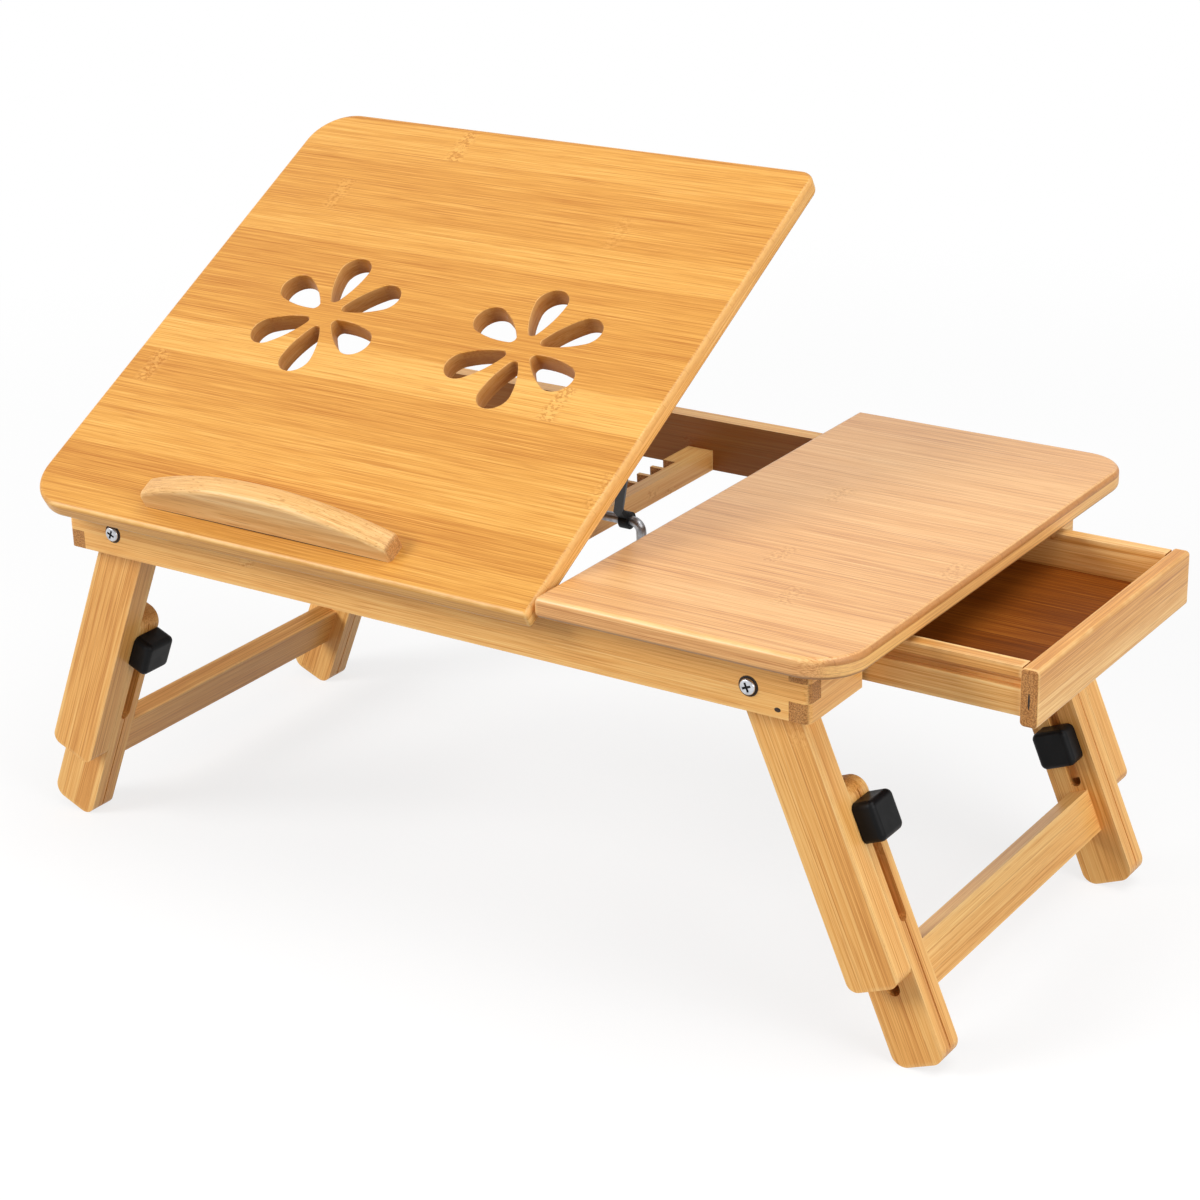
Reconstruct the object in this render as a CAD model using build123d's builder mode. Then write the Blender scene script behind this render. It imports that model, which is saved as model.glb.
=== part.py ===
import math
import os

from build123d import *

os.makedirs("parts", exist_ok=True)

# tops
desk_x = -10.0
top_length = 550.0
top_depth = 350.0
top_thickness = 12.0
top_z = 246.0
top_corner = 28.0
top_round = 3.0
split_x = 91.0
split_gap = 2.0
inner_corner = 1.5
back_corner = 10.0
tilt_gap = 0.4
tilt_angle = 29.0

# frame
overhang_left = 14.0
overhang_right = 28.0
overhang_depth = 18.0
rail_height = 33.0
rail_thickness = 12.0
rail_round = 4.0
finger_share = 3.0
divider_thickness = 10.0

# legs
leg_splay = 22.5
leg_width = 32.0
leg_stop_gap = 0.5
pivot_rise = 14.0
upper_thickness = 15.5
lower_thickness = 18.0
leg_gap = 0.4
slide_gap = 0.2
upper_foot_gap = 51.5
upper_tip_round = 6.0
lower_lead = 22.0
lower_tip_round = 9.0
foot_round = 8.0
channel_width = 8.4
channel_depth = 13.5
channel_foot_gap = 41.0
tongue_lead = 16.0
tongue_foot_gap = 66.0
seam_width = 0.9
seam_depth = 0.9
crossbar_width = 26.0
crossbar_thickness = 12.0
crossbar_rise = 46.0
tenon_width = 6.0
tenon_thickness = 6.0
tenon_depth = 8.0
tenon_rise = 37.0

# fasteners
bolt_radius = 2.5
running_gap = 0.05
seat_gap = 0.03
bolt_head_radius = 4.6
bolt_head_height = 2.2
bolt_head_round = 1.5
bolt_stub = 1.0
recess_length = 5.4
recess_width = 1.3
recess_depth = 1.5
nut_across = 8.0
nut_sides = 6
nut_height = 4.0

# clamp knobs
knob_size = 23.0
knob_height = 13.0
knob_corner = 4.0
knob_round = 3.5
knob_gap = 0.4
knob_socket = 9.0
slot_width = 7.5
front_knob_rise = 138.0
front_bolt_depth = 8.5
front_slot_length = 65.0
front_slot_drop = 26.5
back_knob_rise = 90.0
back_slot_length = 103.0
back_slot_lift = 23.5

# lid hinges
barrel_radius = 2.5
barrel_gap = 0.5
barrel_clear = 0.3
hinge_pin_radius = 1.25
leaf_thickness = 1.2
leaf_reach = 12.0
hinge_length = 40.0
hinge_inset = 60.0
knuckle_gap = 0.3
knuckle_count = 3
leaf_screw_radius = 1.2
leaf_screw_head = 2.4
leaf_screw_height = 1.1
leaf_screw_taper = 20.0
leaf_screw_length = 7.0
leaf_screw_pitch = 26.0
leaf_screw_inset = 7.5

# prop and rack
rack_x = -5.0
rack_width = 18.0
rack_height = 13.0
tooth_width = 9.0
tooth_depth = 6.5
tooth_pitch = 15.0
tooth_floor = 7.5
tooth_opening = 12.0
tooth_arc = 15.0
tooth_count = 8
tooth_clear = 30.0
prop_reach = 114.0
prop_drop = 8.0
prop_lean = 45.0
prop_top_half = 72.0
prop_foot_half = 35.0
arm_width = 6.0
arm_thickness = 3.0
arm_eye = 4.2
arm_straight = 12.0
rod_radius = 3.0
rod_gap = 0.6
rod_half = 45.0
rod_bend = 6.0
rod_tail = 16.0
foot_eye = 5.2
prop_pin_radius = 2.0
bracket_cheek = 2.0
bracket_base = 1.5
bracket_length = 28.0
bracket_gap = 0.5
bracket_end = 4.5

# vents and book stop
flower_half = 72.7
flower_offset = 1.6
flower_rise = 179.0
petal_count = 6
petal_turn = 33.0
petal_inner = 13.7
petal_inner_radius = 3.2
petal_outer = 37.7
petal_outer_radius = 10.5
petal_flank_radius = 60.0
petal_round = 0.8
stop_length = 180.0
stop_offset = -4.5
stop_front = 13.0
stop_thickness = 14.0
stop_height = 28.0
stop_end_height = 10.0
stop_left_round = 6.5
stop_round = 3.0
dowel_radius = 3.0
dowel_length = 18.0
dowel_half = 55.0
dowel_depth = 7.0

# drawer
bay_wall = 5.0
bay_front_clear = 3.9
bay_back_clear = 15.9
drawer_gap = 3.0
drawer_front_gap = 0.8
drawer_back_gap = 2.0
drawer_held = 44.0
drawer_side = 9.0
drawer_side_low = 3.0
drawer_side_high = 3.0
drawer_front_thickness = 10.0
drawer_front_low = -1.5
drawer_front_high = 2.5
drawer_front_round = 2.5
drawer_end_round = 1.2
drawer_floor = 4.0
drawer_floor_rise = 3.0
floor_groove = 3.0
fit_gap = 0.2
runner_height = 6.0
runner_rise = 18.0
runner_depth = 4.0
runner_gap = 0.4

# levels and stations that follow from the sizes above
frame_top = top_z - top_thickness
frame_low = frame_top - rail_height
frame_length = top_length - overhang_left - overhang_right
frame_depth = top_depth - 2 * overhang_depth
half_depth = frame_depth / 2
inner_y = half_depth - rail_thickness
left_x = desk_x - top_length / 2 + overhang_left
right_x = left_x + frame_length
frame_x = (left_x + right_x) / 2
finger_height = rail_height / finger_share
pivot_z = frame_low + pivot_rise
split = desk_x + split_x
divider_x = split + split_gap / 2 + divider_thickness / 2
bay_inner_x = divider_x + divider_thickness / 2
splay_sin = math.sin(math.radians(leg_splay))
splay_cos = math.cos(math.radians(leg_splay))
leg_inset = rail_thickness + (pivot_rise * splay_sin + leg_width / 2) / splay_cos + leg_stop_gap
foot_end = foot_round + (pivot_z - foot_round - (leg_width / 2 - foot_round) * splay_sin) / splay_cos
front_knob_down = foot_end - front_knob_rise
back_knob_down = foot_end - back_knob_rise
crossbar_down = foot_end - crossbar_rise
tenon_down = foot_end - tenon_rise
upper_length = foot_end - upper_foot_gap
lower_start = front_knob_down - lower_lead
channel_end = foot_end - channel_foot_gap - channel_width / 2
tongue_start = front_knob_down - tongue_lead
tongue_end = foot_end - tongue_foot_gap
tongue_width = channel_width - 2 * slide_gap
upper_outer = inner_y - leg_gap
upper_inner = upper_outer - upper_thickness
lower_outer = upper_inner - slide_gap
lower_inner = lower_outer - lower_thickness
front_bolt_y = lower_outer - front_bolt_depth
bay_low = bay_front_clear + bay_wall - lower_inner
bay_high = lower_inner - bay_back_clear - bay_wall
bay_center = (bay_low + bay_high) / 2
bay_width = bay_high - bay_low
hinge_y = -half_depth - barrel_gap - barrel_radius
panel_low = barrel_radius + barrel_clear
hinge_z = frame_top + tilt_gap - panel_low
tilt_sin = math.sin(math.radians(tilt_angle))
tilt_cos = math.cos(math.radians(tilt_angle))
panel_left = -top_length / 2
panel_right = split_x - split_gap / 2
panel_mid = (panel_left + panel_right) / 2
panel_front = -top_depth / 2 - hinge_y
panel_thickness = top_thickness - tilt_gap
panel_top = panel_low + panel_thickness
hinge_spots = (panel_left + overhang_left + hinge_inset, panel_right - hinge_inset)
leaf_screw_spots = [spot + step * leaf_screw_pitch / 2 for spot in hinge_spots for step in (-1, 1)]


def save(piece, name):
    piece.label = name
    export_step(piece, "parts/" + name + ".step")


def leg_plane(side, y):
    pivot_x = frame_x + side * (frame_length / 2 - leg_inset)
    return Plane(origin=(pivot_x, y, pivot_z), x_dir=(splay_cos, 0, side * splay_sin), z_dir=(0, 1, 0))


def low_y(near, outer, inner):
    return -outer if near < 0 else inner


# long rails with a finger joint at both ends and two leg pivot holes
for name, near in (("front_rail", -1), ("back_rail", 1)):
    with BuildPart() as rail:
        with BuildSketch(Plane.XY.offset(frame_low)):
            with Locations((frame_x, near * (half_depth - rail_thickness / 2))):
                Rectangle(frame_length, rail_thickness)
        extrude(amount=rail_height)
        ends = rail.edges().filter_by(Axis.Z).group_by(Axis.Y)[0 if near < 0 else -1]
        fillet(ends, rail_round)
        with BuildSketch(Plane.XY.offset(frame_low)):
            with Locations((left_x + rail_thickness / 2, near * (half_depth - rail_thickness / 2)),
                           (right_x - rail_thickness / 2, near * (half_depth - rail_thickness / 2))):
                Rectangle(rail_thickness, rail_thickness)
        extrude(amount=finger_height, mode=Mode.SUBTRACT)
        with BuildSketch(Plane.XY.offset(frame_top - finger_height)):
            with Locations((left_x + rail_thickness / 2, near * (half_depth - rail_thickness / 2)),
                           (right_x - rail_thickness / 2, near * (half_depth - rail_thickness / 2))):
                Rectangle(rail_thickness, rail_thickness)
        extrude(amount=finger_height, mode=Mode.SUBTRACT)
        for side in (-1, 1):
            with BuildSketch(leg_plane(side, near * (half_depth - rail_thickness / 2))):
                Circle(bolt_radius + seat_gap)
            extrude(amount=rail_thickness, both=True, mode=Mode.SUBTRACT)
        if near < 0:
            with BuildSketch(Plane(origin=(desk_x, -half_depth, hinge_z - leaf_screw_inset), x_dir=(1, 0, 0),
                                   z_dir=(0, 1, 0))):
                for spot in leaf_screw_spots:
                    with Locations((spot, 0)):
                        Circle(leaf_screw_radius + seat_gap)
            extrude(amount=leaf_screw_length, mode=Mode.SUBTRACT)
    save(rail.part, name)

# left end rail, full width, its fingers above and below those of the long rails
with BuildPart() as left_end:
    with BuildSketch(Plane.XY.offset(frame_low)):
        with Locations((left_x + rail_thickness / 2, 0)):
            Rectangle(rail_thickness, frame_depth)
    extrude(amount=rail_height)
    fillet(left_end.edges().filter_by(Axis.Z).group_by(Axis.X)[0], rail_round)
    with BuildSketch(Plane.XY.offset(frame_low + finger_height)):
        for near in (-1, 1):
            with Locations((left_x + rail_thickness / 2, near * (half_depth - rail_thickness / 2))):
                Rectangle(rail_thickness, rail_thickness)
    extrude(amount=rail_height - 2 * finger_height, mode=Mode.SUBTRACT)
save(left_end.part, "left_end_rail")

# right end pieces either side of the drawer opening
for name, near, edge in (("right_end_front", -1, bay_low), ("right_end_back", 1, bay_high)):
    with BuildPart() as stub:
        with BuildSketch(Plane.XY.offset(frame_low)):
            with Locations((right_x - rail_thickness / 2, (near * half_depth + edge) / 2)):
                Rectangle(rail_thickness, abs(near * half_depth - edge))
        extrude(amount=rail_height)
        corner = stub.edges().filter_by(Axis.Z).group_by(Axis.X)[-1].sort_by(Axis.Y)
        fillet(corner[0 if near < 0 else -1], rail_round)
        with BuildSketch(Plane.XY.offset(frame_low + finger_height)):
            with Locations((right_x - rail_thickness / 2, near * (half_depth - rail_thickness / 2))):
                Rectangle(rail_thickness, rail_thickness)
        extrude(amount=rail_height - 2 * finger_height, mode=Mode.SUBTRACT)
    save(stub.part, name)

# fixed top over the drawer
fixed_low_x = split + split_gap / 2
fixed_high_x = desk_x + top_length / 2
with BuildPart() as fixed_top:
    with BuildSketch(Plane.XY.offset(frame_top)) as fixed_outline:
        with Locations(((fixed_low_x + fixed_high_x) / 2, 0)):
            Rectangle(fixed_high_x - fixed_low_x, top_depth)
        fillet(fixed_outline.vertices().group_by(Axis.X)[-1], top_corner)
        fillet(fixed_outline.vertices().group_by(Axis.X)[0], inner_corner)
    extrude(amount=top_thickness)
    fillet(fixed_top.faces().sort_by(Axis.Z)[-1].edges(), top_round)
    fillet(fixed_top.faces().sort_by(Axis.Z)[0].edges(), top_round)
save(fixed_top.part, "fixed_top")

# divider that carries the inner edge of the fixed top and closes the drawer bay
with BuildPart() as divider:
    with BuildSketch(Plane.XY.offset(frame_low)):
        with Locations((divider_x, 0)):
            Rectangle(divider_thickness, 2 * inner_y)
    extrude(amount=rail_height)
save(divider.part, "bay_divider")

# bay walls and the strips the drawer hangs on
bay_length = right_x - rail_thickness - bay_inner_x
bay_mid_x = bay_inner_x + bay_length / 2
for name, strip_name, face, out in (("bay_front_wall", "runner_front", bay_low, -1),
                                    ("bay_back_wall", "runner_back", bay_high, 1)):
    with BuildPart() as wall:
        with BuildSketch(Plane.XY.offset(frame_low)):
            with Locations((bay_mid_x, face + out * bay_wall / 2)):
                Rectangle(bay_length, bay_wall)
        extrude(amount=rail_height)
    save(wall.part, name)
    strip_reach = drawer_gap + runner_depth - runner_gap
    with BuildPart() as strip:
        with BuildSketch(Plane.XY.offset(frame_low + runner_rise + runner_gap)):
            with Locations((bay_mid_x, face - out * strip_reach / 2)):
                Rectangle(bay_length, strip_reach)
        extrude(amount=runner_height - 2 * runner_gap)
    save(strip.part, strip_name)

# notched rack across the middle of the frame
rack_mid = desk_x + rack_x
rack_top = frame_low + rack_height
tooth_first = inner_y - tooth_clear - tooth_count * tooth_pitch
with BuildPart() as rack:
    with BuildSketch(Plane.XY.offset(frame_low)):
        with Locations((rack_mid, 0)):
            Rectangle(rack_width, 2 * inner_y)
    extrude(amount=rack_height)
    with BuildSketch(Plane.YZ.offset(rack_mid - rack_width / 2)):
        for index in range(tooth_count):
            back = tooth_first + (index + 1) * tooth_pitch
            tooth_low = rack_top - tooth_depth
            with BuildLine():
                Line((back, rack_top), (back, tooth_low))
                Line((back, tooth_low), (back - tooth_floor, tooth_low))
                RadiusArc((back - tooth_floor, tooth_low), (back - tooth_opening, rack_top), tooth_arc)
                Line((back - tooth_opening, rack_top), (back, rack_top))
            make_face()
    extrude(amount=tooth_width, mode=Mode.SUBTRACT)
save(rack.part, "prop_rack")

# pivot bolts with a cross recess, and their nuts
with BuildPart() as pivot_bolts:
    for side in (-1, 1):
        for near in (-1, 1):
            with BuildSketch(leg_plane(side, near * half_depth)):
                Circle(bolt_head_radius)
            extrude(amount=near * bolt_head_height)
            with BuildSketch(leg_plane(side, near * half_depth)):
                Circle(bolt_radius)
            extrude(amount=-near * (half_depth - upper_inner + nut_height + leg_gap + bolt_stub))
            with BuildSketch(leg_plane(side, near * (half_depth + bolt_head_height))):
                Rectangle(recess_length, recess_width)
                Rectangle(recess_width, recess_length)
            extrude(amount=-near * recess_depth, mode=Mode.SUBTRACT)
    rims = pivot_bolts.edges().filter_by(GeomType.CIRCLE)
    outer_rims = [e for e in rims if abs(abs(e.center().Y) - half_depth - bolt_head_height) < seat_gap
                  and abs(e.radius - bolt_head_radius) < seat_gap]
    fillet(outer_rims, bolt_head_round)
save(pivot_bolts.part, "pivot_bolts")

with BuildPart() as pivot_nuts:
    for side in (-1, 1):
        for near in (-1, 1):
            with BuildSketch(leg_plane(side, near * (upper_inner - leg_gap))):
                RegularPolygon(nut_across / 2, nut_sides, major_radius=False)
                Circle(bolt_radius + seat_gap, mode=Mode.SUBTRACT)
            extrude(amount=-near * nut_height)
save(pivot_nuts.part, "pivot_nuts")

# tilting panel on its own plane, the hinge line is the origin of that plane
tilt_plane = Plane(origin=(desk_x, hinge_y, hinge_z), x_dir=(1, 0, 0), z_dir=(0, -tilt_sin, tilt_cos))


def on_tilt(x, up, out):
    y = hinge_y + up * tilt_cos - out * tilt_sin
    z = hinge_z + up * tilt_sin + out * tilt_cos
    return (desk_x + x, y, z)


# petal outline, its flank arc lies tangent to the round of the inner end and to that of the outer end
petal_span = petal_outer - petal_inner
flank_near = petal_flank_radius - petal_inner_radius
flank_far = petal_flank_radius - petal_outer_radius
flank_along = (flank_near**2 - flank_far**2 + petal_span**2) / (2 * petal_span)
flank_across = math.sqrt(flank_near**2 - flank_along**2)
flank_first = math.atan2(flank_across, -flank_along)
flank_last = math.atan2(flank_across, petal_span - flank_along)


def on_flank(turn, hand):
    along = petal_inner + flank_along + petal_flank_radius * math.cos(turn)
    return (along, hand * (petal_flank_radius * math.sin(turn) - flank_across))


flank_half = (flank_first + flank_last) / 2
with BuildSketch() as petal:
    with BuildLine():
        ThreePointArc(on_flank(flank_first, 1), on_flank(flank_half, 1), on_flank(flank_last, 1))
        ThreePointArc(on_flank(flank_last, 1), (petal_outer + petal_outer_radius, 0), on_flank(flank_last, -1))
        ThreePointArc(on_flank(flank_last, -1), on_flank(flank_half, -1), on_flank(flank_first, -1))
        ThreePointArc(on_flank(flank_first, -1), (petal_inner - petal_inner_radius, 0), on_flank(flank_first, 1))
    make_face()

flower_mid = panel_mid + flower_offset
flower_up = panel_front + flower_rise
stop_mid = panel_mid + stop_offset
stop_up = panel_front + stop_front + stop_thickness / 2

with BuildPart() as tilt_panel:
    with BuildSketch(tilt_plane.offset(panel_low)) as tilt_outline:
        with Locations((panel_mid, panel_front + top_depth / 2)):
            Rectangle(panel_right - panel_left, top_depth)
        fillet(tilt_outline.vertices().group_by(Axis.X)[0], top_corner)
        fillet(tilt_outline.vertices().group_by(Axis.X)[-1].sort_by(Axis.Y)[-1], back_corner)
        fillet(tilt_outline.vertices().group_by(Axis.X)[-1].sort_by(Axis.Y)[0], inner_corner)
    extrude(amount=panel_thickness)
    fillet(tilt_panel.faces().sort_by(Axis(tilt_plane.origin, tilt_plane.z_dir))[-1].edges(), top_round)
    fillet(tilt_panel.faces().sort_by(Axis(tilt_plane.origin, tilt_plane.z_dir))[0].edges(), top_round)
    with BuildSketch(tilt_plane.offset(panel_low)):
        for half in (-1, 1):
            for index in range(petal_count):
                turn = petal_turn + index * 360 / petal_count
                with Locations(Location((flower_mid + half * flower_half, flower_up, 0), (0, 0, turn))):
                    add(petal.sketch)
    extrude(amount=panel_thickness, mode=Mode.SUBTRACT)
    panel_face = tilt_panel.faces().sort_by(Axis(tilt_plane.origin, tilt_plane.z_dir))[-1]
    fillet([edge for rim in panel_face.inner_wires() for edge in rim.edges()], petal_round)
    with BuildSketch(tilt_plane.offset(panel_top)):
        with Locations((stop_mid - dowel_half, stop_up), (stop_mid + dowel_half, stop_up)):
            Circle(dowel_radius + seat_gap)
    extrude(amount=-dowel_depth, mode=Mode.SUBTRACT)
    with BuildSketch(tilt_plane.offset(panel_low)):
        for spot in leaf_screw_spots:
            with Locations((spot, -leaf_screw_inset)):
                Circle(leaf_screw_radius + seat_gap)
    extrude(amount=leaf_screw_length, mode=Mode.SUBTRACT)
save(tilt_panel.part, "tilt_panel")

# book stop, a low arch across the front of the panel, on two dowels
stop_plane = Plane(origin=on_tilt(stop_mid, panel_front + stop_front, panel_top), x_dir=(1, 0, 0),
                   z_dir=(0, -tilt_cos, -tilt_sin))
with BuildPart() as book_stop:
    with BuildSketch(stop_plane) as stop_outline:
        with BuildLine():
            Line((-stop_length / 2, 0), (stop_length / 2, 0))
            Line((stop_length / 2, 0), (stop_length / 2, stop_end_height))
            ThreePointArc((stop_length / 2, stop_end_height), (0, stop_height), (-stop_length / 2, stop_end_height))
            Line((-stop_length / 2, stop_end_height), (-stop_length / 2, 0))
        make_face()
        fillet(stop_outline.vertices().group_by(Axis.X)[0].sort_by(Axis.Y)[-1], stop_left_round)
        fillet(stop_outline.vertices().group_by(Axis.X)[-1].sort_by(Axis.Y)[-1], stop_round)
    extrude(amount=-stop_thickness)
    long_edges = book_stop.edges().filter_by(GeomType.CIRCLE).filter_by(lambda e: e.radius > stop_length / 2)
    fillet(long_edges, stop_round)
    with BuildSketch(tilt_plane.offset(panel_top)):
        with Locations((stop_mid - dowel_half, stop_up), (stop_mid + dowel_half, stop_up)):
            Circle(dowel_radius + seat_gap)
    extrude(amount=dowel_length - dowel_depth + fit_gap, mode=Mode.SUBTRACT)
save(book_stop.part, "book_stop")

with BuildPart() as dowels:
    with BuildSketch(tilt_plane.offset(panel_top - dowel_depth + fit_gap)):
        with Locations((stop_mid - dowel_half, stop_up), (stop_mid + dowel_half, stop_up)):
            Circle(dowel_radius)
    extrude(amount=dowel_length - fit_gap)
save(dowels.part, "stop_dowels")

# lid hinges, outer knuckles on the rail and the middle knuckle under the panel
knuckle = hinge_length / knuckle_count
knuckle_cut = 2 * (barrel_radius + barrel_gap) + leaf_thickness
for name, spot in zip(("left", "right"), hinge_spots):
    hinge_x = desk_x + spot
    rail_leaf_plane = Plane(origin=(hinge_x - hinge_length / 2, hinge_y, hinge_z), x_dir=(0, 1, 0), z_dir=(1, 0, 0))
    with BuildPart() as rail_leaf:
        with BuildSketch(rail_leaf_plane):
            with Locations((barrel_gap + barrel_radius - leaf_thickness / 2, -leaf_reach / 2)):
                Rectangle(leaf_thickness, leaf_reach)
            Circle(barrel_radius)
        extrude(amount=hinge_length)
        with BuildSketch(rail_leaf_plane.offset(knuckle - knuckle_gap)):
            Rectangle(knuckle_cut, 2 * (barrel_radius + barrel_gap))
        extrude(amount=knuckle + 2 * knuckle_gap, mode=Mode.SUBTRACT)
        with BuildSketch(rail_leaf_plane):
            Circle(hinge_pin_radius + seat_gap)
        extrude(amount=hinge_length, mode=Mode.SUBTRACT)
        with BuildSketch(Plane(origin=(hinge_x, -half_depth - leaf_thickness, hinge_z), x_dir=(1, 0, 0),
                               z_dir=(0, 1, 0))):
            with Locations((-leaf_screw_pitch / 2, leaf_screw_inset), (leaf_screw_pitch / 2, leaf_screw_inset)):
                Circle(leaf_screw_radius + seat_gap)
        extrude(amount=leaf_thickness, mode=Mode.SUBTRACT)
    save(rail_leaf.part, "hinge_rail_leaf_" + name)
    panel_leaf_plane = Plane(origin=on_tilt(spot - hinge_length / 2, 0, 0),
                             x_dir=(0, tilt_cos, tilt_sin), z_dir=(1, 0, 0))
    with BuildPart() as panel_leaf:
        with BuildSketch(panel_leaf_plane):
            with Locations((-leaf_reach / 2, panel_low - leaf_thickness / 2)):
                Rectangle(leaf_reach, leaf_thickness)
        extrude(amount=hinge_length)
        for start in (-knuckle_gap, 2 * knuckle):
            with BuildSketch(panel_leaf_plane.offset(start)):
                Rectangle(2 * (barrel_radius + barrel_gap), knuckle_cut)
            extrude(amount=knuckle + knuckle_gap, mode=Mode.SUBTRACT)
        with BuildSketch(panel_leaf_plane.offset(knuckle + knuckle_gap)):
            Circle(barrel_radius)
        extrude(amount=knuckle - 2 * knuckle_gap)
        with BuildSketch(panel_leaf_plane):
            Circle(hinge_pin_radius + running_gap)
        extrude(amount=hinge_length, mode=Mode.SUBTRACT)
        with BuildSketch(tilt_plane.offset(panel_low - leaf_thickness)):
            for step in (-1, 1):
                with Locations((spot + step * leaf_screw_pitch / 2, -leaf_screw_inset)):
                    Circle(leaf_screw_radius + seat_gap)
        extrude(amount=leaf_thickness, mode=Mode.SUBTRACT)
    save(panel_leaf.part, "hinge_panel_leaf_" + name)

with BuildPart() as hinge_pins:
    for spot in hinge_spots:
        with BuildSketch(Plane(origin=(desk_x + spot - hinge_length / 2, hinge_y, hinge_z), z_dir=(1, 0, 0))):
            Circle(hinge_pin_radius)
        extrude(amount=hinge_length)
save(hinge_pins.part, "hinge_pins")

with BuildPart() as rail_screws:
    for spot in leaf_screw_spots:
        with BuildSketch(Plane(origin=(desk_x + spot, -half_depth - leaf_thickness, hinge_z - leaf_screw_inset),
                               z_dir=(0, 1, 0))):
            Circle(leaf_screw_radius)
        extrude(amount=leaf_screw_length)
        with BuildSketch(Plane(origin=(desk_x + spot, -half_depth - leaf_thickness, hinge_z - leaf_screw_inset),
                               z_dir=(0, -1, 0))):
            Circle(leaf_screw_head)
        extrude(amount=leaf_screw_height, taper=leaf_screw_taper)
save(rail_screws.part, "hinge_rail_screws")

with BuildPart() as panel_screws:
    for spot in leaf_screw_spots:
        with BuildSketch(tilt_plane.offset(panel_low - leaf_thickness)):
            with Locations((spot, -leaf_screw_inset)):
                Circle(leaf_screw_radius)
        extrude(amount=leaf_screw_length)
        with BuildSketch(tilt_plane.offset(panel_low - leaf_thickness - leaf_screw_height)):
            with Locations((spot, -leaf_screw_inset)):
                Circle(leaf_screw_head)
        extrude(amount=leaf_screw_height)
save(panel_screws.part, "hinge_panel_screws")

# folding prop, two arms that hang from brackets under the panel and stand on the rack through a bent rod
prop_out = panel_low - prop_drop
prop_eye = on_tilt(rack_x, prop_reach, prop_out)
rod_z = rack_top + rod_radius + rod_gap
lean_sin = math.sin(math.radians(prop_lean))
lean_cos = math.cos(math.radians(prop_lean))
prop_length = (prop_eye[2] - rod_z) / lean_cos
rod_y = prop_eye[1] + prop_length * lean_sin
prop_plane = Plane(origin=prop_eye, x_dir=(1, 0, 0), z_dir=(0, lean_cos, lean_sin))
cheek_in = arm_width / 2 + bracket_gap
for name, half in (("left", -1), ("right", 1)):
    eye_x = desk_x + rack_x + half * prop_top_half
    toe_x = desk_x + rack_x + half * prop_foot_half
    top_mid = half * prop_top_half
    toe_mid = half * prop_foot_half
    with BuildPart() as arm:
        with BuildSketch(prop_plane.offset(-arm_thickness / 2)):
            Polygon((top_mid - arm_width / 2, 0), (top_mid + arm_width / 2, 0),
                    (top_mid + arm_width / 2, arm_straight), (toe_mid + arm_width / 2, prop_length - arm_straight),
                    (toe_mid + arm_width / 2, prop_length), (toe_mid - arm_width / 2, prop_length),
                    (toe_mid - arm_width / 2, prop_length - arm_straight), (top_mid - arm_width / 2, arm_straight),
                    align=None)
        extrude(amount=arm_thickness)
        with BuildSketch(Plane(origin=(eye_x - arm_width / 2, prop_eye[1], prop_eye[2]), z_dir=(1, 0, 0))):
            Circle(arm_eye)
        extrude(amount=arm_width)
        with BuildSketch(Plane(origin=(toe_x - arm_width / 2, rod_y, rod_z), z_dir=(1, 0, 0))):
            Circle(foot_eye)
        extrude(amount=arm_width)
        with BuildSketch(Plane(origin=(eye_x, prop_eye[1], prop_eye[2]), z_dir=(1, 0, 0))):
            Circle(prop_pin_radius + running_gap)
        extrude(amount=arm_width, both=True, mode=Mode.SUBTRACT)
        with BuildSketch(Plane(origin=(toe_x, rod_y, rod_z), z_dir=(1, 0, 0))):
            Circle(rod_radius + seat_gap)
        extrude(amount=arm_width, both=True, mode=Mode.SUBTRACT)
    save(arm.part, "prop_arm_" + name)
    cheek_plane = Plane(origin=(eye_x, prop_eye[1], prop_eye[2]), x_dir=(0, tilt_cos, tilt_sin), z_dir=(1, 0, 0))
    with BuildPart() as bracket:
        with BuildSketch(cheek_plane.offset(-cheek_in - bracket_cheek)):
            Circle(bracket_end)
            with Locations((0, prop_drop / 2)):
                Rectangle(2 * bracket_end, prop_drop)
        extrude(amount=2 * (cheek_in + bracket_cheek))
        with BuildSketch(cheek_plane.offset(-cheek_in)):
            with Locations((0, (prop_drop - bracket_base - bracket_end) / 2)):
                Rectangle(2 * bracket_end, prop_drop - bracket_base + bracket_end)
        extrude(amount=2 * cheek_in, mode=Mode.SUBTRACT)
        with BuildSketch(tilt_plane.offset(panel_low - bracket_base)):
            with Locations((eye_x - desk_x, prop_reach)):
                Rectangle(2 * (cheek_in + bracket_cheek), bracket_length)
        extrude(amount=bracket_base)
        with BuildSketch(cheek_plane):
            Circle(prop_pin_radius + seat_gap)
        extrude(amount=2 * cheek_in, both=True, mode=Mode.SUBTRACT)
    save(bracket.part, "prop_bracket_" + name)

with BuildPart() as prop_pins:
    for half in (-1, 1):
        pin_x = desk_x + rack_x + half * prop_top_half
        with BuildSketch(Plane(origin=(pin_x, prop_eye[1], prop_eye[2]), z_dir=(1, 0, 0))):
            Circle(prop_pin_radius)
        extrude(amount=cheek_in + bracket_cheek + bracket_gap, both=True)
save(prop_pins.part, "prop_pins")

rod_plane = Plane(origin=(rack_mid, rod_y, rod_z), x_dir=(1, 0, 0), z_dir=(0, -1, 0))
with BuildPart() as rod:
    with BuildLine(rod_plane) as rod_path:
        FilletPolyline((-rod_half, -rod_tail), (-rod_half, 0), (rod_half, 0), (rod_half, -rod_tail), radius=rod_bend)
    with BuildSketch(Plane(origin=rod_path.line @ 0, z_dir=rod_path.line % 0)):
        Circle(rod_radius)
    sweep()
save(rod.part, "prop_rod")

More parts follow.
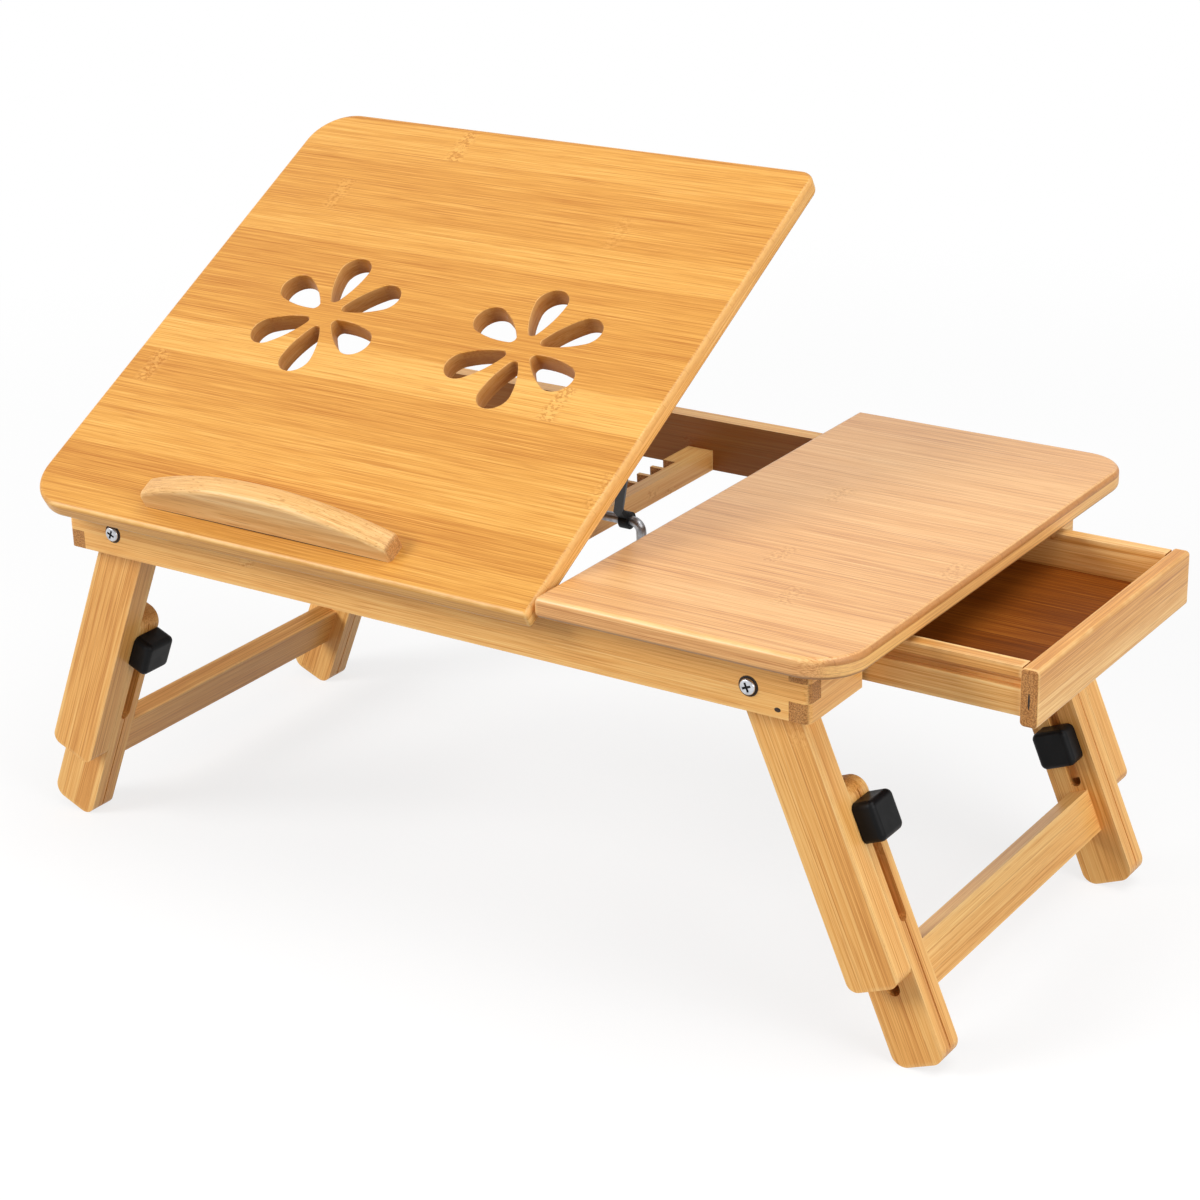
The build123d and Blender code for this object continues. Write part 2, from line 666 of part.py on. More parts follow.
# drawer, drawn open as it stands
drawer_depth = right_x - bay_inner_x - drawer_back_gap
back_x = right_x - drawer_held
front_x = back_x + drawer_depth
box_front_x = front_x - drawer_front_thickness
side_low_z = frame_low + drawer_side_low
side_high_z = frame_top - drawer_side_high
floor_z = side_low_z + drawer_floor_rise
box_low = bay_low + drawer_gap
box_high = bay_high - drawer_gap
with BuildPart() as drawer_front:
    with BuildSketch(Plane.XY.offset(frame_low + drawer_front_low)):
        with Locations((front_x - drawer_front_thickness / 2, bay_center)):
            Rectangle(drawer_front_thickness, bay_width - 2 * drawer_front_gap)
    extrude(amount=rail_height - drawer_front_low - drawer_front_high)
    fillet(drawer_front.edges().filter_by(Axis.Y), drawer_front_round)
    fillet(drawer_front.faces().filter_by(Axis.Y).edges(), drawer_end_round)
save(drawer_front.part, "drawer_front")

for name, outer, turn in (("drawer_side_front", box_low, 1), ("drawer_side_back", box_high, -1)):
    with BuildPart() as side_wall:
        with BuildSketch(Plane.XY.offset(side_low_z)):
            with Locations(((back_x + box_front_x) / 2, outer + turn * drawer_side / 2)):
                Rectangle(box_front_x - back_x, drawer_side)
        extrude(amount=side_high_z - side_low_z)
        with BuildSketch(Plane.XY.offset(frame_low + runner_rise)):
            with Locations(((back_x + box_front_x) / 2, outer + turn * runner_depth / 2)):
                Rectangle(box_front_x - back_x, runner_depth)
        extrude(amount=runner_height, mode=Mode.SUBTRACT)
        with BuildSketch(Plane.XY.offset(floor_z)):
            with Locations(((back_x + box_front_x) / 2, outer + turn * (drawer_side - floor_groove / 2))):
                Rectangle(box_front_x - back_x, floor_groove)
        extrude(amount=drawer_floor, mode=Mode.SUBTRACT)
    save(side_wall.part, name)

inside_width = box_high - box_low - 2 * drawer_side
with BuildPart() as drawer_floor_panel:
    with BuildSketch(Plane.XY.offset(floor_z + fit_gap / 2)):
        with Locations(((back_x + box_front_x) / 2, bay_center)):
            Rectangle(box_front_x - back_x, inside_width + 2 * (floor_groove - fit_gap))
    extrude(amount=drawer_floor - fit_gap)
save(drawer_floor_panel.part, "drawer_floor")

with BuildPart() as drawer_back:
    with BuildSketch(Plane.XY.offset(floor_z + drawer_floor)):
        with Locations((back_x + drawer_side / 2, bay_center)):
            Rectangle(drawer_side, inside_width)
    extrude(amount=side_high_z - floor_z - drawer_floor)
save(drawer_back.part, "drawer_back")

# legs, the upper leg turns on the frame and the lower leg slides on the tongue of the upper one
lower_length = foot_end - lower_start


def bolt_plane(side, near, down, across):
    pivot_x = frame_x + side * (frame_length / 2 - leg_inset)
    spot = (pivot_x + side * splay_sin * down + splay_cos * across, near * front_bolt_y,
            pivot_z - splay_cos * down + side * splay_sin * across)
    return Plane(origin=spot, x_dir=(side * splay_sin, 0, -splay_cos), z_dir=(splay_cos, 0, side * splay_sin))


def face_plane(side, y, down):
    pivot_x = frame_x + side * (frame_length / 2 - leg_inset)
    spot = (pivot_x + side * splay_sin * down, y, pivot_z - splay_cos * down)
    return Plane(origin=spot, x_dir=(splay_cos, 0, side * splay_sin), z_dir=(0, -1, 0))


for side_name, side in (("left", -1), ("right", 1)):
    for near_name, near in (("front", -1), ("back", 1)):
        where = near_name + "_" + side_name
        with BuildPart() as upper_leg:
            with BuildSketch(leg_plane(side, low_y(near, upper_outer, upper_inner))) as upper_outline:
                with Locations((0, upper_length / 2)):
                    Rectangle(leg_width, upper_length)
                fillet(upper_outline.vertices().group_by(Axis.Y)[-1], upper_tip_round)
                Circle(leg_width / 2)
                Circle(bolt_radius + running_gap, mode=Mode.SUBTRACT)
            extrude(amount=upper_thickness)
        save(upper_leg.part, "upper_leg_" + where)

        with BuildPart() as tongue:
            with BuildSketch(leg_plane(side, low_y(near, upper_inner, upper_inner - channel_depth))):
                with Locations((0, (tongue_start + tongue_end) / 2)):
                    Rectangle(tongue_width, tongue_end - tongue_start)
            extrude(amount=channel_depth)
            if near < 0:
                with BuildSketch(bolt_plane(side, near, front_knob_down, 0)):
                    Circle(bolt_radius + running_gap)
                extrude(amount=leg_width, both=True, mode=Mode.SUBTRACT)
            else:
                with BuildSketch(leg_plane(side, upper_inner)):
                    with Locations((0, back_knob_down)):
                        Circle(bolt_radius + running_gap)
                extrude(amount=-channel_depth, mode=Mode.SUBTRACT)
        save(tongue.part, "guide_tongue_" + where)

        with BuildPart() as lower_leg:
            with BuildSketch(leg_plane(side, low_y(near, lower_outer, lower_inner))) as lower_outline:
                with Locations((0, (lower_start + foot_end) / 2)):
                    Rectangle(leg_width, lower_length)
                fillet(lower_outline.vertices().group_by(Axis.Y)[0], lower_tip_round)
                fillet(lower_outline.vertices().group_by(Axis.Y)[-1], foot_round)
            extrude(amount=lower_thickness)
            with BuildSketch(leg_plane(side, low_y(near, lower_outer, lower_outer - channel_depth))):
                with Locations((0, channel_end / 2)):
                    Rectangle(channel_width, channel_end)
                with Locations((0, channel_end)):
                    Circle(channel_width / 2)
            extrude(amount=channel_depth, mode=Mode.SUBTRACT)
            seam_y = near * (lower_outer + lower_inner) / 2 - seam_width / 2
            with BuildSketch(leg_plane(side, seam_y)):
                with Locations((-leg_width / 2, foot_end / 2), (leg_width / 2, foot_end / 2)):
                    Rectangle(2 * seam_depth, 2 * foot_end)
            extrude(amount=seam_width, mode=Mode.SUBTRACT)
            with BuildSketch(leg_plane(side, low_y(near, lower_inner + tenon_depth + fit_gap, lower_inner))):
                with Locations((0, tenon_down)):
                    Rectangle(tenon_thickness + fit_gap, tenon_width + fit_gap)
            extrude(amount=tenon_depth + fit_gap, mode=Mode.SUBTRACT)
            if near < 0:
                with BuildSketch(bolt_plane(side, near, front_knob_down + front_slot_drop, 0)):
                    SlotOverall(front_slot_length, slot_width)
                extrude(amount=leg_width, mode=Mode.SUBTRACT)
            else:
                with BuildSketch(leg_plane(side, lower_inner)):
                    with Locations((0, back_knob_down - back_slot_lift)):
                        SlotOverall(back_slot_length, slot_width, rotation=90)
                extrude(amount=lower_thickness - channel_depth, mode=Mode.SUBTRACT)
        save(lower_leg.part, "lower_leg_" + where)

        if near < 0:
            knob_plane = bolt_plane(side, near, front_knob_down, leg_width / 2 + knob_gap)
            bolt_reach = leg_width / 2 + knob_gap + tongue_width / 2 - seam_depth
        else:
            knob_plane = face_plane(side, lower_inner - knob_gap, back_knob_down)
            bolt_reach = knob_gap + lower_thickness + slide_gap - seam_depth
        with BuildPart() as knob:
            with BuildSketch(knob_plane):
                RectangleRounded(knob_size, knob_size, knob_corner)
            extrude(amount=knob_height)
            fillet(knob.faces().sort_by(Axis(knob_plane.origin, knob_plane.z_dir))[-1].edges(), knob_round)
            with BuildSketch(knob_plane):
                Circle(bolt_radius + seat_gap)
            extrude(amount=knob_socket, mode=Mode.SUBTRACT)
        save(knob.part, "knob_" + where)
        with BuildPart() as clamp_bolt:
            with BuildSketch(knob_plane.offset(-bolt_reach)):
                Circle(bolt_radius)
            extrude(amount=bolt_reach + knob_socket - fit_gap)
        save(clamp_bolt.part, "clamp_bolt_" + where)

    with BuildPart() as crossbar:
        with BuildSketch(leg_plane(side, -lower_inner)):
            with Locations((0, crossbar_down)):
                Rectangle(crossbar_thickness, crossbar_width)
        extrude(amount=2 * lower_inner)
        with BuildSketch(leg_plane(side, -lower_inner - tenon_depth)):
            with Locations((0, tenon_down)):
                Rectangle(tenon_thickness, tenon_width)
        extrude(amount=2 * (lower_inner + tenon_depth))
    save(crossbar.part, "crossbar_" + side_name)
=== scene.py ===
import math

import bmesh
import bpy
import numpy as np
from mathutils import Matrix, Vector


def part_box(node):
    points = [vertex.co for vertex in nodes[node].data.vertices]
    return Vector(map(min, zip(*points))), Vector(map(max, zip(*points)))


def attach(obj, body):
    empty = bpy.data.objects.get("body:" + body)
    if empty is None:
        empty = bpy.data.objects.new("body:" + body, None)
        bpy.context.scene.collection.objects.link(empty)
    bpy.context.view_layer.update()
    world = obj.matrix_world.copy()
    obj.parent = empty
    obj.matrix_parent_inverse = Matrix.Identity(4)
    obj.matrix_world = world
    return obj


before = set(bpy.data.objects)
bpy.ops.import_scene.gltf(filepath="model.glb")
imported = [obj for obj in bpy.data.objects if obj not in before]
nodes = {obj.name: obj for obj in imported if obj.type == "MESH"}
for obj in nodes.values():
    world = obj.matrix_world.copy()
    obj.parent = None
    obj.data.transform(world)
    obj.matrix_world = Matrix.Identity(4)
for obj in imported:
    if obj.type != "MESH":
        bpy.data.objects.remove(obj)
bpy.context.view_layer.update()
print("frame loaded,", len(nodes), "nodes")

scene = bpy.context.scene
scene.view_settings.view_transform = "Standard"


# sRGB bytes to the linear colour that a socket takes
def tone(red, green, blue):
    share = np.array([red, green, blue]) / 255.0
    linear = np.where(share <= 0.04045, share / 12.92, ((share + 0.055) / 1.055) ** 2.4)
    return (*linear.tolist(), 1.0)


# a placing matrix from three column directions and a spot
def placing(columns, spot):
    turned = Matrix(np.stack(columns, 1).tolist()).to_4x4()
    turned.translation = spot
    return turned


# camera at the photograph's angle: metres, degrees, focal length and image side in pixels, sensor in millimetres
cameraSet = {"place": (0.8724, -1.2669, 0.7952), "yaw": 34.43, "pitch": 22.28, "roll": -1.70,
             "focal": 2790.0, "image": 1200.0, "sensor": 36.0, "far": 40.0}


def placeCamera(s):
    yaw, pitch, roll = (math.radians(s[key]) for key in ("yaw", "pitch", "roll"))
    ahead = np.array([-math.sin(yaw) * math.cos(pitch), math.cos(yaw) * math.cos(pitch), -math.sin(pitch)])
    level = np.array([math.cos(yaw), math.sin(yaw), 0.0])
    upright = np.cross(level, ahead)
    right = level * math.cos(roll) + upright * math.sin(roll)
    above = upright * math.cos(roll) - level * math.sin(roll)
    data = bpy.data.cameras.new("photoCamera")
    data.sensor_width = s["sensor"]
    data.lens = s["focal"] / s["image"] * s["sensor"]
    data.clip_end = s["far"]
    camera = bpy.data.objects.new("photoCamera", data)
    scene.collection.objects.link(camera)
    camera.matrix_world = placing([right, above, -ahead], s["place"])
    scene.camera = camera


placeCamera(cameraSet)
print("camera placed")


# one socket of a shader tree, numbers and other sockets combine with it as in plain maths
class Wire:
    def __init__(self, tree, socket=None):
        self.tree = tree
        self.socket = socket

    def make(self, kind, settings=None, sockets=None, out=0):
        node = self.tree.nodes.new(kind)
        for key, value in (settings or {}).items():
            if key == "stops":
                ramp = node.color_ramp
                while len(ramp.elements) < len(value):
                    ramp.elements.new(0.5)
                for element, (spot, colour) in zip(ramp.elements, value):
                    element.position = spot
                    element.color = colour
            else:
                setattr(node, key, value)
        for key, value in (sockets or {}).items():
            if isinstance(value, Wire):
                self.tree.links.new(value.socket, node.inputs[key])
            else:
                node.inputs[key].default_value = value
        return Wire(self.tree, node.outputs[out]) if len(node.outputs) else None

    def math(self, operation, *terms):
        return self.make("ShaderNodeMath", {"operation": operation}, dict(enumerate(terms)))

    def __add__(self, other):
        return self.math("ADD", self, other)

    def __radd__(self, other):
        return self.math("ADD", other, self)

    def __sub__(self, other):
        return self.math("SUBTRACT", self, other)

    def __rsub__(self, other):
        return self.math("SUBTRACT", other, self)

    def __mul__(self, other):
        return self.math("MULTIPLY", self, other)

    def __rmul__(self, other):
        return self.math("MULTIPLY", other, self)

    def __truediv__(self, other):
        return self.math("DIVIDE", self, other)

    def __rtruediv__(self, other):
        return self.math("DIVIDE", other, self)

    def __abs__(self):
        return self.math("ABSOLUTE", self)

    def floor(self):
        return self.math("FLOOR", self)

    def fract(self):
        return self.math("FRACT", self)

    def least(self, other):
        return self.math("MINIMUM", self, other)

    def most(self, other):
        return self.math("MAXIMUM", self, other)

    # 0 below low, 1 above high, eased between
    def ease(self, low, high):
        return self.make("ShaderNodeMapRange", {"interpolation_type": "SMOOTHSTEP"},
                         {"Value": self, "From Min": low, "From Max": high})

    def parts(self):
        split = self.make("ShaderNodeSeparateXYZ", None, {0: self}).socket.node
        return [Wire(self.tree, socket) for socket in split.outputs]

    def join(self, x, y, z):
        return self.make("ShaderNodeCombineXYZ", None, {0: x, 1: y, 2: z})

    def scaled(self, x, y, z):
        return self.make("ShaderNodeVectorMath", {"operation": "MULTIPLY"}, {0: self, 1: (x, y, z)})

    # noise on a stretched copy of the coordinates
    def noise(self, stretch, detail=3.0, rough=0.55, shift=0.0):
        spot = self.make("ShaderNodeVectorMath", {"operation": "ADD"}, {0: self.scaled(*stretch), 1: (shift,) * 3})
        return self.make("ShaderNodeTexNoise", None,
                         {"Vector": spot, "Scale": 1.0, "Detail": detail, "Roughness": rough})

    def chance(self, x, y, z):
        return self.make("ShaderNodeTexWhiteNoise", None, {"Vector": self.join(x, y, z)})

    def blend(self, share, first, second):
        return self.make("ShaderNodeMix", {"data_type": "RGBA"}, {0: share, 6: first, 7: second}, 2)

    def coordinate(self, kind):
        return self.make("ShaderNodeTexCoord", None, None, kind)

    # how far a direction looks along another
    def dot(self, way):
        return self.make("ShaderNodeVectorMath", {"operation": "DOT_PRODUCT"}, {0: self, 1: way}, "Value")

    def bump(self, strength, depth):
        return self.make("ShaderNodeBump", None, {"Strength": strength, "Distance": depth, "Height": self})


def newFinish(name):
    material = bpy.data.materials.new(name)
    material.use_nodes = True
    material.node_tree.nodes.clear()
    return material, Wire(material.node_tree)


def closeFinish(wire, sockets):
    shader = wire.make("ShaderNodeBsdfPrincipled", None, sockets)
    wire.make("ShaderNodeOutputMaterial", None, {"Surface": shader})


def dress(name, material):
    for slot in nodes[name].material_slots:
        slot.material = material


def meshPoints(obj):
    flat = np.empty(len(obj.data.vertices) * 3)
    obj.data.vertices.foreach_get("co", flat)
    return flat.reshape(-1, 3)


# grain frame: columns are along the grain, across the strips, through the layers
def grainFrame(along, across):
    first = np.array(along, float) / np.linalg.norm(along)
    second = np.array(across, float) - first * np.dot(across, first)
    second = second / np.linalg.norm(second)
    return np.stack([first, second, np.cross(first, second)], 1)


# laminated bamboo looks, lengths in metres and tones from dark to pale
panelLook = {"dark": tone(170, 100, 28), "mid": tone(211, 150, 66), "pale": tone(237, 185, 104),
             "strip": 0.027, "layer": 0.0042, "wander": 0.0010, "grain": (5.0, 780.0, 780.0),
             "stripPart": 0.36, "driftPart": 0.34, "streakPart": 0.85, "finePart": 1.30, "fleckPart": 0.34,
             "jointGap": 0.21, "jointPart": 0.80, "seamPart": 0.30,
             # the edge tone below is for worn arrises and also paints a highlight along them
             "edge": tone(250, 214, 150), "wornAndHighlitPart": 0.60,
             "endDark": tone(204, 146, 76), "endPale": tone(246, 198, 126), "endPart": 0.85,
             "endStrip": tone(236, 184, 112), "endGrain": (300.0, 240.0, 900.0), "endFrom": 0.4, "crossPly": True,
             "scorchAndShade": 0.75, "scorchAndShadeTone": tone(158, 94, 38), "rough": 0.42, "coat": 0.14, "shine": 0.28,
             # the under tone below is painted shade on the under side of a board
             "shadedSide": None, "under": tone(122, 70, 26)}
topLook = dict(panelLook, dark=tone(178, 112, 53), mid=tone(223, 164, 98), pale=tone(243, 197, 135),
               strip=0.024, stripPart=0.24, finePart=1.7, grain=(5.0, 900.0, 900.0), jointPart=0.6,
               scorchAndShade=0.0, endDark=tone(150, 92, 38), endStrip=tone(194, 132, 70), endPale=tone(246, 196, 120),
               rough=0.38, coat=0.26, shine=0.50)
railLook = dict(panelLook, dark=tone(194, 122, 50), mid=tone(239, 177, 98), pale=tone(253, 212, 140),
                strip=0.017, layer=0.006, wander=0.0008, stripPart=0.30, driftPart=0.35, scorchAndShade=0.0,
                wornAndHighlitPart=0.35, endGrain=(1300.0, 1300.0, 1300.0), endFrom=0.55, crossPly=False,
                endDark=tone(126, 76, 36), endPale=tone(192, 134, 76), under=None)
# the back rail: its inside face, turned to -y, is painted darker as shade
innerLook = dict(railLook, shadedSide=((0.0, -1.0, 0.0), tone(116, 54, 6), 0.80))
legLook = dict(railLook, dark=tone(188, 116, 46), mid=tone(234, 171, 92), pale=tone(251, 206, 132),
               strip=0.0107, layer=0.0078, stripPart=0.42, jointPart=0.4, endPart=0.3, seamPart=0.48)
stopLook = dict(railLook, dark=tone(180, 122, 60), mid=tone(223, 172, 106), pale=tone(247, 212, 154),
                strip=0.09, layer=0.007, grain=(5.0, 170.0, 900.0), streakPart=0.75, finePart=1.0, fleckPart=0.6,
                endPart=0.6, wornAndHighlitPart=0.2)
drawerLook = dict(railLook, dark=tone(178, 112, 48), mid=tone(222, 160, 84), pale=tone(250, 208, 140),
                  strip=0.015, layer=0.0045, stripPart=0.34, wornAndHighlitPart=0.6)
# the drawer floor: a darker copy of the bamboo, painted as the shade inside the drawer
shadedFloorLook = dict(railLook, dark=tone(80, 36, 4), mid=tone(134, 68, 12), pale=tone(182, 110, 38),
                 strip=0.030, layer=0.01, rough=0.62, coat=0.0, shine=0.12)


# what all the bamboo shares
# noise: stretch along, across and through the grain, or None where the look gives it, then detail, roughness,
# and the seed's factor and shift
# edge: where a mask starts and where it is full; lengths in metres
# part: shares of a tone, a gloss or a height
fibreSet = {"noise": {"sway": ((4.0, 3.0, 3.0), 1.0, 0.5, 1.3, 0.0),
                      "drift": ((1.6, 46.0, 46.0), 2.0, 0.5, 3.1, 0.0),
                      "streak": (None, 4.0, 0.62, 5.3, 0.0),
                      "fine": (None, 2.0, 0.6, 7.9, 0.0),
                      "fleck": ((42.0, 1250.0, 1250.0), 2.0, 0.5, 1.0, 8.0),
                      "ragged": ((60.0, 130.0, 130.0), 2.0, 0.5, 1.0, 0.0),
                      "dash": ((430.0, 620.0, 620.0), 2.0, 0.55, 1.0, 2.0),
                      "pores": (None, 3.0, 0.6, 1.0, 4.0),
                      "plyLine": ((300.0, 14.0, 1700.0), 3.0, 0.6, 1.0, 5.0),
                      "scuff": ((60.0, 60.0, 60.0), 3.0, 0.6, 1.0, 6.0),
                      "burnAndShade": ((40.0, 40.0, 260.0), 3.0, 0.55, 1.0, 9.0)},
            "edge": {"fleck": (0.58, 0.70), "bearing": (0.66, 0.68), "joint": (0.002, 0.009), "dash": (0.45, 0.60),
                     "seam": (0.0, 0.0005), "glue": (0.0, 0.00025), "pores": (0.40, 0.62), "upper": (0.47, 0.53),
                     "plyLine": (0.38, 0.66), "scuff": (0.35, 0.7), "wornAndHighlit": (0.0004, 0.0028), "below": (0.10, 0.55),
                     "upright": (0.25, 0.6), "inside": (0.008, 0.014), "upperWall": (0.0, 0.006),
                     "shadedSide": (0.6, 0.9)},
            "part": {"even": 0.52, "stripShift": 0.31, "stripStep": 0.37, "jointSpread": 5.7, "jointSeed": 3.3,
                     "ragged": 0.008, "dash": 0.65, "between": 0.35, "endSpan": 0.3, "plyRow": 0.4,
                     "plyPores": 0.25, "plySeam": 0.35, "plyGlue": 0.5, "wornAndHighlitLeast": 0.35, "endDull": 0.6,
                     "coatLeast": 0.75, "coatDrift": 0.5, "under": 0.62, "underStreak": 0.4, "burnAndShade": 0.8,
                     "burnLeast": 0.6, "burnFade": 0.45, "shadedSideStreak": 0.3, "roughStreak": 0.16,
                     "roughEnds": 0.16, "roughWorn": 0.08, "highStreak": 0.6, "highFine": 0.35, "deepSeam": 0.7,
                     "deepDash": 0.8, "deepPores": 0.5, "coatRough": 0.25, "bump": 0.22, "bumpDepth": 0.00025}}


# tone of a point: the strip it is in, slow drift, long streaks and fine fibre; then culm joints, end grain and edges
def bambooFinish(name, look, turn, seed):
    edge, part = fibreSet["edge"], fibreSet["part"]
    points = meshPoints(nodes[name]) @ turn
    low, high = points.min(0), points.max(0)
    half = (high - low) / 2
    middle = turn @ (low + half)
    material, wire = newFinish(name + "Bamboo")
    facing = wire.coordinate("Normal")
    local = wire.make("ShaderNodeMapping", {"vector_type": "TEXTURE"},
                      {"Vector": wire.coordinate("Object"), "Location": middle.tolist(),
                       "Rotation": Matrix(turn.tolist()).to_euler()})
    x, y, z = local.parts()

    def fibre(key, stretch=None):
        usual, detail, roughness, times, shift = fibreSet["noise"][key]
        return local.noise(stretch or usual, detail, roughness, seed * times + shift)

    # strips side by side in layers, each with a tone of its own
    sway = (fibre("sway") - 0.5) * look["wander"]
    strips = (y + sway) / look["strip"] + part["stripShift"] + seed * part["stripStep"]
    layers = z / look["layer"] + 0.5
    row, layer = strips.floor(), layers.floor()
    rowChance = wire.chance(row, layer, seed)
    along, across, through = look["grain"]
    drift = fibre("drift")
    streak = fibre("streak", look["grain"])
    fine = fibre("fine", (3 * along, 2 * across, 2 * through))
    shade = ((rowChance - 0.5) * look["stripPart"] + (drift - 0.5) * look["driftPart"]
             + (streak - 0.5) * look["streakPart"] + (fine - 0.5) * look["finePart"] + part["even"])
    colour = wire.make("ShaderNodeValToRGB",
                       {"stops": [(0.0, look["dark"]), (0.5, look["mid"]), (1.0, look["pale"])]}, {"Fac": shade})
    colour = wire.blend(fibre("fleck").ease(*edge["fleck"]) * look["fleckPart"], colour, look["dark"])

    # culm joints, a short patch of brown dashes on some strips
    spread = x / look["jointGap"] + rowChance * part["jointSpread"]
    off = abs(spread.fract() - 0.5) * look["jointGap"]
    bearing = wire.chance(row, spread.floor(), layer + (seed + part["jointSeed"])).ease(*edge["bearing"])
    ragged = (fibre("ragged") - 0.5) * part["ragged"]
    joint = (1 - (off + ragged).ease(*edge["joint"])) * bearing * look["jointPart"]
    dash = fibre("dash").ease(*edge["dash"])
    colour = wire.blend(joint * dash * part["dash"], colour, look["dark"])
    colour = wire.blend(joint * (1 - dash) * part["between"], colour, look["pale"])

    # strip seams and glue lines between the layers
    seam = 1 - ((0.5 - abs(strips.fract() - 0.5)) * look["strip"]).ease(*edge["seam"])
    glue = 1 - ((0.5 - abs(layers.fract() - 0.5)) * look["layer"]).ease(*edge["glue"])
    colour = wire.blend(seam.most(glue) * look["seamPart"], colour, look["dark"])

    # end grain on faces that look along the grain
    ends = abs(facing.dot(turn[:, 0].tolist())).ease(look["endFrom"], look["endFrom"] + part["endSpan"])
    pores = fibre("pores", look["endGrain"]).ease(*edge["pores"])
    endTone = wire.blend(pores, look["endPale"], look["endDark"])

    # a board of crossed layers: browned ends of the upper layer's strips over long grain of the others
    if look["crossPly"]:
        upper = (z / look["layer"]).ease(*edge["upper"])
        browned = rowChance * part["plyRow"] + pores * part["plyPores"] + seam * part["plySeam"]
        strip = wire.blend(browned, look["endStrip"], look["endDark"])
        lines = fibre("plyLine").ease(*edge["plyLine"])
        endTone = wire.blend(upper, wire.blend(lines, look["endPale"], look["mid"]), strip)
        endTone = wire.blend(glue * part["plyGlue"], endTone, look["endDark"])
    colour = wire.blend(ends * look["endPart"], colour, endTone)

    # worn arrises, also a painted highlight along them: second smallest distance to the faces of the piece's own box
    a, b, c = [limit - abs(axis) for limit, axis in zip(half.tolist(), (x, y, z))]
    arris = a.least(b).most(a.most(b).least(c))
    scuff = fibre("scuff").ease(*edge["scuff"])
    wornAndHighlit = (1 - arris.ease(*edge["wornAndHighlit"])) * (part["wornAndHighlitLeast"] + scuff * (1 - part["wornAndHighlitLeast"]))
    colour = wire.blend(wornAndHighlit * (1 - ends) * look["wornAndHighlitPart"], colour, look["edge"])

    # painted shade: the under side of a board and its lower edge are painted dark as shade, and left without lacquer
    flat = facing.dot(turn[:, 2].tolist())
    coat = look["coat"] * (1 - ends * part["endDull"]) * (part["coatLeast"] + drift * part["coatDrift"])
    if look["under"]:
        below = (0 - flat).ease(*edge["below"])
        colour = wire.blend(below * (part["under"] + (streak - 0.5) * part["underStreak"]), colour, look["under"])
        coat = coat * (1 - below)

    # routed walls inside the outline: browned by the cutter and painted shade of the walls, darker towards the
    # bottom, and bare of lacquer
    if look["scorchAndShade"]:
        routed = (1 - abs(flat).ease(*edge["upright"])) * a.least(b).ease(*edge["inside"])
        burnAndShade = fibre("burnAndShade") * part["burnAndShade"] + part["burnLeast"] - z.ease(*edge["upperWall"]) * part["burnFade"]
        colour = wire.blend(routed * look["scorchAndShade"] * burnAndShade, colour, look["scorchAndShadeTone"])
        coat = coat * (1 - routed)

    # painted shade: the side given in the look is painted darker as the shade it lies in, and left bare of lacquer
    if look["shadedSide"]:
        side, sideShadeTone, share = look["shadedSide"]
        shadedFacing = facing.dot(side).ease(*edge["shadedSide"])
        colour = wire.blend(shadedFacing * (share + (streak - 0.5) * part["shadedSideStreak"]), colour, sideShadeTone)
        coat = coat * (1 - shadedFacing)

    rough = (look["rough"] + (streak - 0.5) * part["roughStreak"] + ends * part["roughEnds"]
             + (wornAndHighlit + joint) * part["roughWorn"])
    height = (streak * part["highStreak"] + fine * part["highFine"] - seam * part["deepSeam"]
              - joint * dash * part["deepDash"] - ends * pores * part["deepPores"])
    closeFinish(wire, {"Base Color": colour, "Roughness": rough, "Coat Weight": coat,
                       "Coat Roughness": part["coatRough"], "Specular IOR Level": look["shine"],
                       "Normal": height.bump(part["bump"], part["bumpDepth"])})
    dress(name, material)


# which way the grain of each piece runs, at the panel's tilt and the legs' splay of the rest pose
restSet = {"tilt": 29.0, "splay": 22.5}
tilt, splay = math.radians(restSet["tilt"]), math.radians(restSet["splay"])
alongX, alongY, alongZ = (1, 0, 0), (0, 1, 0), (0, 0, 1)
upPanel = (0, math.cos(tilt), math.sin(tilt))
offPanel = (0, -math.sin(tilt), math.cos(tilt))
bambooPieces = [("tilt_panel", panelLook, alongX, upPanel), ("book_stop", stopLook, alongX, offPanel),
                ("stop_dowels", stopLook, offPanel, alongX), ("fixed_top", topLook, alongX, alongY),
                ("front_rail", railLook, alongX, alongZ), ("back_rail", innerLook, alongX, alongZ),
                ("left_end_rail", railLook, alongY, alongZ), ("right_end_front", railLook, alongY, alongZ),
                ("right_end_back", railLook, alongY, alongZ), ("bay_divider", railLook, alongY, alongZ),
                ("bay_front_wall", railLook, alongX, alongZ), ("bay_back_wall", railLook, alongX, alongZ),
                ("runner_front", railLook, alongX, alongZ), ("runner_back", railLook, alongX, alongZ),
                ("prop_rack", railLook, alongY, alongX), ("drawer_front", drawerLook, alongY, alongZ),
                ("drawer_side_front", drawerLook, alongX, alongZ), ("drawer_side_back", drawerLook, alongX, alongZ),
                ("drawer_back", drawerLook, alongY, alongZ), ("drawer_floor", shadedFloorLook, alongX, alongY)]
for side, sign in (("left", -1), ("right", 1)):
    downLeg = (sign * math.sin(splay), 0, -math.cos(splay))
    acrossLeg = (math.cos(splay), 0, sign * math.sin(splay))
    for near in ("front", "back"):
        for member in ("upper_leg_", "lower_leg_", "guide_tongue_"):
            bambooPieces.append((member + near + "_" + side, legLook, downLeg, acrossLeg))
    bambooPieces.append(("crossbar_" + side, legLook, alongY, downLeg))
grainSeeds = {"first": 1.0, "step": 1.7, "own": {"fixed_top": 4.4}}
for order, (name, look, along, across) in enumerate(bambooPieces):
    seed = grainSeeds["own"].get(name, grainSeeds["first"] + order * grainSeeds["step"])
    bambooFinish(name, look, grainFrame(along, across), seed)
